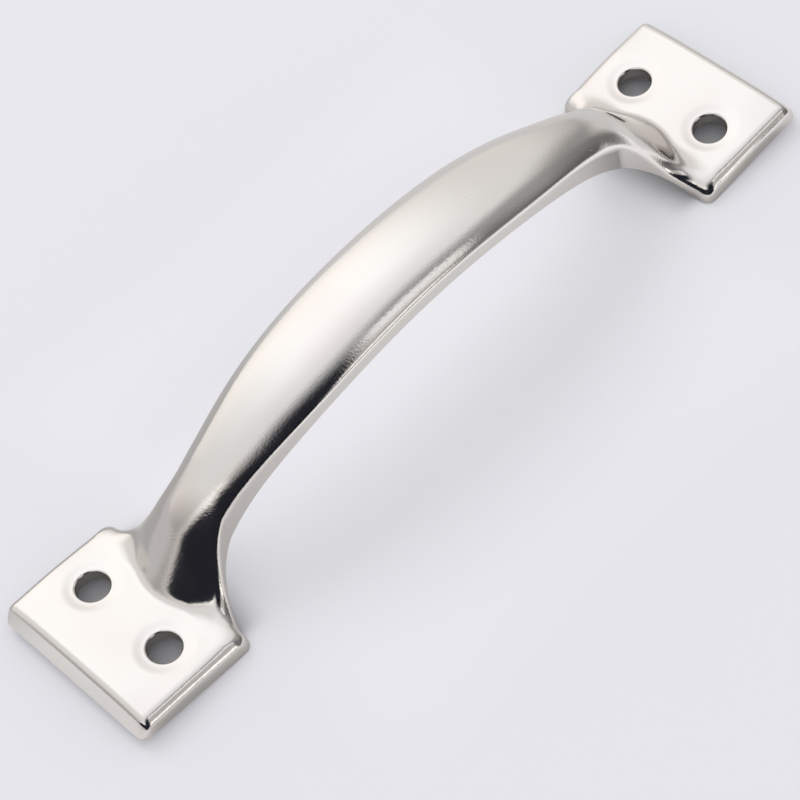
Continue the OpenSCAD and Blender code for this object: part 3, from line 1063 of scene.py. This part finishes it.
@dataclass(frozen=True)
class PaleFloorPaintedLight:
    """Matt pale floor, with painted light and shade on it and in the tones that the plate mirrors.

    An even share of it takes no shadow, and a painted glow under the bow stands for the light that
    the plate throws back. Under the feet it is darkened with painted shade. In the plate it shows
    painted reflection tones: dimmer behind the handle, a painted shadow beside the feet, dimmer left
    of them, brighter in front and at the near end, and black far off front left. Places are in
    metres: along X and Y, or out from the middle line for those with out in their names.
    """

    colour: Triple = (0.80, 0.80, 0.845)
    in_plate: Triple = (0.81, 0.80, 0.80)
    even: float = 0.25
    glow: float = 0.18
    glow_y: float = 0.004
    glow_width: float = 0.022
    glow_least: float = 0.2
    glow_out_x: Fade = Fade(0.040, 0.058, 1.0, 0.0)
    glow_out_y: Fade = Fade(0.035, 0.055, 1.0, 0.0)
    behind_x: Fade = Fade(-0.06, 0.05, 0.36, 0.08)
    behind_y: Fade = Fade(0.008, 0.030)
    left_x: Fade = Fade(-0.106, -0.082, 0.66, 0.0)
    left_y: Fade = Fade(0.028, 0.046, 1.0, 0.0)
    # Painted shadow beside the feet, in the floor as the plate mirrors it.
    painted_shadow_beside_out_y: Fade = Fade(0.019, 0.028, 0.26, 0.0)
    black_x: Fade = Fade(-0.03, 0.01, 1.0, 0.6)
    black_y: Fade = Fade(-0.120, -0.080, 1.0, 0.0)
    front_x: Fade = Fade(-0.06, -0.02)
    front_y: Fade = Fade(-0.050, -0.012, 0.42, 0.0)
    end_x: Fade = Fade(-0.080, -0.074, 0.16, 0.0)
    foot_out_start: Fade = Fade(0.046, 0.054)
    foot_out_end: Fade = Fade(0.070, 0.074, 1.0, 0.0)
    foot_out_y: Fade = Fade(0.026, 0.050, 1.0, 0.0)
    # Painted shade: the floor under the feet is darkened by this share, for every ray.
    under_out_y: Fade = Fade(0.0125, 0.0155, 1.0, 0.0)
    under_feet_painted_shade: float = 0.34

    def make(self) -> bpy.types.Material:
        """Builds the material.

        Returns:
            The material.
        """
        mat = bpy.data.materials.new("pale_floor")
        mat.use_nodes = True
        g = Graph(mat.node_tree)
        split = g.add("ShaderNodeSeparateXYZ")
        g.link(g.add("ShaderNodeTexCoord").outputs["Object"], split.inputs["Vector"])
        x, y = split.outputs[0], split.outputs[1]
        out_x, out_y = g.math("ABSOLUTE", x), g.math("ABSOLUTE", y)
        foot = g.times(g.fade(out_x, self.foot_out_start), g.fade(out_x, self.foot_out_end))
        # Where the floor lies under the feet: painted shade goes there and the even share is left out.
        under = g.times(foot, g.fade(out_y, self.under_out_y))
        ray = g.add("ShaderNodeLightPath")
        mirrored, seen = g.mirrored(ray), ray.outputs["Is Camera Ray"]
        direct = g.times(seen, g.times_plus(under, -self.even, self.even))
        dimmer, brighter = self.tones(g, x, y, out_y, foot)
        # Share that the base colour is cut by: painted shade under the feet, painted reflection shade for
        # mirrored rays, and the even share for camera rays.
        less = g.times_plus(under, self.under_feet_painted_shade, g.times_plus(dimmer, mirrored, direct))
        # Emission strength: the painted glow for camera rays, painted reflection light for mirrored rays,
        # and the even share.
        more = g.times_plus(self.glowing(g, y, out_x, out_y), seen, g.times_plus(brighter, mirrored, direct))
        shade = g.mix(mirrored, self.colour, self.in_plate)
        tint = g.add("ShaderNodeVectorMath", operation="SCALE")
        g.link(shade, tint.inputs[0])
        g.link(g.rest(less), tint.inputs["Scale"])
        shader = g.add("ShaderNodeBsdfPrincipled", Roughness=0.9, Specular_IOR_Level=0.0)
        g.link(tint.outputs[0], shader.inputs["Base Color"])
        g.link(shade, shader.inputs["Emission Color"])
        g.link(more, shader.inputs["Emission Strength"])
        out = g.add("ShaderNodeOutputMaterial")
        g.link(shader.outputs["BSDF"], out.inputs["Surface"])
        return mat

    def tones(self, g: Graph, x: bpy.types.NodeSocket, y: bpy.types.NodeSocket, out_y: bpy.types.NodeSocket,
              foot: bpy.types.NodeSocket) -> tuple[bpy.types.NodeSocket, bpy.types.NodeSocket]:
        """Painted reflection tones: how much dimmer and brighter the floor is made where the plate mirrors
        it.

        Args:
            g: The material's graph.
            x: Place along the handle.
            y: Place across it.
            out_y: Distance from the middle line.
            foot: 1 along the feet and 0 elsewhere.

        Returns:
            The dimmer share and the brighter share.
        """
        # Painted shade in the mirrored floor: behind the handle, left of the feet, a painted shadow beside
        # the feet, and black far off front left.
        behind = g.times(g.fade(y, self.behind_y), g.fade(x, self.behind_x))
        left = g.times(g.fade(x, self.left_x), g.fade(y, self.left_y))
        beside = g.times(foot, g.fade(out_y, self.painted_shadow_beside_out_y))
        black = g.times(g.fade(y, self.black_y), g.fade(x, self.black_x))
        dimmer = black
        for share in (behind, left, beside):
            dimmer = g.math("MAXIMUM", dimmer, share)
        # Painted light in the mirrored floor: brighter in front and at the near end, but not beside the feet
        # or in the black.
        front = g.times(g.fade(y, self.front_y), g.fade(x, self.front_x))
        front = g.math("MAXIMUM", front, g.fade(x, self.end_x))
        front = g.times(front, g.rest(g.times(foot, g.fade(out_y, self.foot_out_y))))
        return dimmer, g.times(front, g.rest(black))

    def glowing(self, g: Graph, y: bpy.types.NodeSocket, out_x: bpy.types.NodeSocket,
                out_y: bpy.types.NodeSocket) -> bpy.types.NodeSocket:
        """Glow of the floor under the bow.

        Args:
            g: The material's graph.
            y: Place across the handle.
            out_x: Distance from its middle.
            out_y: Distance from its middle line.

        Returns:
            The glow's strength.
        """
        least = self.glow_least * self.glow
        glow = g.fade(g.away(y, self.glow_y), Fade(0.0, self.glow_width, self.glow, least))
        return g.times(g.times(glow, g.fade(out_y, self.glow_out_y)), g.fade(out_x, self.glow_out_x))


@dataclass(frozen=True)
class PaleFloor:
    """Plain pale floor that the handle lies on."""

    size: float = 4.0

    def build(self) -> bpy.types.Object:
        """Makes the floor.

        Returns:
            The floor.
        """
        s = self.size / 2
        mesh = bpy.data.meshes.new("pale_floor")
        mesh.from_pydata([(-s, -s, 0), (s, -s, 0), (s, s, 0), (-s, s, 0)], [], [(0, 1, 2, 3)])
        mesh.materials.append(PaleFloorPaintedLight().make())
        floor = bpy.data.objects.new("pale_floor", mesh)
        bpy.context.scene.collection.objects.link(floor)
        return floor


@dataclass(frozen=True)
class TentPlan:
    """A direction in the light tent, laid out flat, in degrees.

    The zenith is in the middle and the horizon 90 degrees away, east along X and north along Y.
    """

    east: bpy.types.NodeSocket
    north: bpy.types.NodeSocket
    south: bpy.types.NodeSocket
    off: bpy.types.NodeSocket

    @classmethod
    def of(cls, g: Graph) -> "TentPlan":
        """Lays out the direction that a ray looks in.

        Args:
            g: The world's graph.

        Returns:
            Its place on the plan, and how far off the zenith it is.
        """
        split = g.add("ShaderNodeSeparateXYZ")
        g.link(g.add("ShaderNodeTexCoord").outputs["Generated"], split.inputs["Vector"])
        x, y, z = split.outputs
        flat = g.math("SQRT", g.math("ADD", g.times(x, x), g.times(y, y)))
        off = g.times(g.math("ARCCOSINE", z), math.degrees(1.0))
        per = g.math("DIVIDE", off, g.math("MAXIMUM", flat, 0.0001))
        north = g.times(y, per)
        return cls(g.times(x, per), north, g.times(north, -1.0), off)

    def towards(self, g: Graph, east: float, south: float) -> bpy.types.NodeSocket:
        """Distance from the zenith along a slanted line, given by its shares."""
        return g.times_plus(self.east, east, g.times(self.south, south))


@dataclass(frozen=True)
class SoftStudio:
    """Light tent that the plate mirrors, plain light for the rest and a pale backdrop.

    Pale is the cloth of the tent, panel the lit panel in it, and the fades lie on its flat plan,
    in degrees.
    """

    pale: float = 0.75
    panel: float = 0.375
    dark: float = 0.011
    gain: float = 1.24
    plain: Triple = (0.88, 0.88, 0.88)
    backdrop: Triple = (0.80, 0.80, 0.845)
    panel_east: float = 8.0
    panel_side: Fade = Fade(8.0, 40.0, 1.0, 0.0)
    panel_north: Fade = Fade(-32.0, 38.0)
    low_north: Fade = Fade(62.0, 96.0, 1.0, 0.84)
    right_line: tuple[float, float] = (0.94, 0.34)
    right: Fade = Fade(44.0, 66.0, 1.0, 0.52)
    seam_east: float = 70.0
    seam: Fade = Fade(0.0, 15.0, 0.74, 1.0)
    edge_east: Fade = Fade(71.0, 85.0, 0.0, 0.6)
    edge_north: Fade = Fade(-14.0, 10.0)
    west: Fade = Fade(-80.0, -46.0, 0.50, 1.0)
    window_east: float = 19.0
    window_side: Fade = Fade(11.0, 18.0, 1.0, 0.0)
    window_in: Fade = Fade(31.0, 36.0)
    window_out: Fade = Fade(40.0, 47.0, 0.66, 0.30)
    window_low: Fade = Fade(71.0, 84.0, 0.0, 0.80)
    front_south: Fade = Fade(26.0, 44.0, 0.33, 0.17)
    front_east: Fade = Fade(52.0, 80.0, 1.0, 0.5)
    cut_bend: Fade = Fade(25.0, 55.0, 0.0, 9.0)
    cut_south: Fade = Fade(15.0, 32.0)
    cut_east: Fade = Fade(-4.0, 12.0)
    left_line: tuple[float, float] = (-0.866, 0.5)
    rim_left: float = 54.0
    rim: Fade = Fade(1.5, 6.0, 0.38, 0.0)
    near_bend: Fade = Fade(-37.0, -19.0, -14.0, 0.0)
    near_south: Fade = Fade(15.0, 44.0)
    near_east: Fade = Fade(0.0, 7.0, 1.0, 0.0)
    left_dark: Fade = Fade(57.0, 59.8)
    warm_from: float = 22.0
    warm_to: float = 75.0
    warm: Triple = (1.0, 0.965, 0.925)
    cold: Triple = (0.0, 0.0015, 0.008)

    def cloth(self, g: Graph, plan: TentPlan) -> bpy.types.NodeSocket:
        """Brightness of the tent's cloth: lit panel, dimmer right and left sides, seam and edge.

        Args:
            g: The world's graph.
            plan: The direction.

        Returns:
            The brightness.
        """
        lit = g.times(g.fade(g.away(plan.east, self.panel_east), self.panel_side),
                      g.fade(plan.north, self.panel_north))
        level = g.times_plus(lit, self.panel, self.pale)
        level = g.times(level, g.fade(plan.north, self.low_north))
        level = g.times(level, g.fade(plan.towards(g, *self.right_line), self.right))
        level = g.times(level, g.fade(g.away(plan.east, self.seam_east), self.seam))
        edge = g.times(g.fade(plan.east, self.edge_east), g.fade(plan.north, self.edge_north))
        level = g.times_plus(level, edge, level)
        return g.times(level, g.fade(plan.east, self.west))

    def opening(self, g: Graph, plan: TentPlan) -> bpy.types.NodeSocket:
        """Brightness of the room beyond the tent's open front, with a window in it.

        Args:
            g: The world's graph.
            plan: The direction.

        Returns:
            The brightness.
        """
        pane = g.times(g.fade(plan.south, self.window_in), g.fade(plan.south, self.window_out))
        pane = g.math("ADD", pane, g.fade(plan.off, self.window_low))
        window = g.times(g.fade(g.away(plan.east, self.window_east), self.window_side), pane)
        room = g.times(g.fade(plan.south, self.front_south), g.fade(plan.east, self.front_east))
        return g.math("ADD", window, room)

    def brightness(self, g: Graph) -> bpy.types.NodeSocket:
        """Colour of the tent in every direction, warmer low down and a little cold where dark.

        Args:
            g: The world's graph.

        Returns:
            The colour.
        """
        plan = TentPlan.of(g)
        deep = g.math("ADD", plan.south, g.fade(plan.east, self.cut_bend))
        cut = g.times(g.fade(deep, self.cut_south), g.fade(plan.east, self.cut_east))
        level = g.math("ADD", g.times(self.cloth(g, plan), g.rest(cut)), g.times(self.opening(g, plan), cut))
        left = plan.towards(g, *self.left_line)
        level = g.times_plus(level, g.fade(g.away(left, self.rim_left), self.rim), level)
        bent = g.math("ADD", plan.south, g.fade(plan.east, self.near_bend))
        near = g.times(g.fade(bent, self.near_south), g.fade(plan.east, self.near_east))
        level = g.times(level, g.rest(near))
        level = g.times(level, g.rest(g.fade(left, self.left_dark)))
        level = g.math("MAXIMUM", level, self.dark)
        colour = g.add("ShaderNodeCombineColor")
        for socket, low, more in zip(colour.inputs, self.warm, self.cold):
            tone = g.fade(plan.off, Fade(self.warm_from, self.warm_to, 1.0, low))
            g.link(g.times_plus(level, tone, more), socket)
        return colour.outputs["Color"]

    def build(self) -> None:
        """Makes the world."""
        world = bpy.data.worlds.new("soft_studio")
        bpy.context.scene.world = world
        world.use_nodes = True
        g = Graph(world.node_tree)
        tent = g.add("ShaderNodeBackground", Strength=self.gain)
        g.link(self.brightness(g), tent.inputs["Color"])
        plain = g.add("ShaderNodeBackground", Strength=1.0, Color=(*self.plain, 1.0))
        drop = g.add("ShaderNodeBackground", Strength=1.0, Color=(*self.backdrop, 1.0))
        ray = g.add("ShaderNodeLightPath")
        first, second = g.add("ShaderNodeMixShader"), g.add("ShaderNodeMixShader")
        g.link(g.mirrored(ray), first.inputs[0])
        g.link(plain.outputs[0], first.inputs[1])
        g.link(tent.outputs[0], first.inputs[2])
        g.link(ray.outputs["Is Camera Ray"], second.inputs[0])
        g.link(first.outputs[0], second.inputs[1])
        g.link(drop.outputs[0], second.inputs[2])
        out = g.add("ShaderNodeOutputWorld")
        g.link(second.outputs[0], out.inputs["Surface"])


@dataclass(frozen=True)
class SoftLamp:
    """One large soft lamp behind the handle; it throws the shadow and has no mirror image."""

    name: str = "soft_key"
    place: Triple = (0.10, 0.85, 1.10)
    size: float = 0.7
    power: float = 3.1

    def build(self) -> bpy.types.Object:
        """Makes the lamp, turned towards the handle.

        Returns:
            The lamp.
        """
        data = bpy.data.lights.new(self.name, "AREA")
        data.shape, data.size, data.energy = "SQUARE", self.size, self.power
        lamp = bpy.data.objects.new(self.name, data)
        bpy.context.scene.collection.objects.link(lamp)
        lamp.location = self.place
        lamp.rotation_euler = Vector(self.place).to_track_quat("Z", "Y").to_euler()
        lamp.visible_glossy = False
        return lamp


@dataclass(frozen=True)
class PictureCamera:
    """Camera at the picture's viewing angle, from above the front left."""

    place: Triple = (-0.1355536, -0.2044431, 0.3451130)
    turn: Triple = (33.73104, 8.89546, -45.62838)
    lens: float = 118.957
    sensor: float = 36.0
    nearest: float = 0.01
    farthest: float = 20.0

    def build(self) -> bpy.types.Object:
        """Makes the camera and gives it to the scene.

        Returns:
            The camera.
        """
        data = bpy.data.cameras.new("picture_camera")
        data.sensor_width, data.lens = self.sensor, self.lens
        data.clip_start, data.clip_end = self.nearest, self.farthest
        camera = bpy.data.objects.new("picture_camera", data)
        bpy.context.scene.collection.objects.link(camera)
        camera.location = self.place
        camera.rotation_euler = [math.radians(a) for a in self.turn]
        bpy.context.scene.camera = camera
        return camera


def main() -> None:
    """Builds the camera, the studio and the handle."""
    logging.basicConfig(level=logging.INFO, format="%(name)s: %(message)s")
    LOG.info("%s placed", PictureCamera().build().name)
    SoftStudio().build()
    LOG.info("%s and %s placed", SoftLamp().build().name, PaleFloor().build().name)
    handle = BowHandle()
    piece = handle.build()
    handle.dress(piece)
    LOG.info("%s: %d faces", piece.name, len(piece.data.polygons))
    bpy.context.scene.view_settings.view_transform = "Standard"


if __name__ == "__main__":
    main()
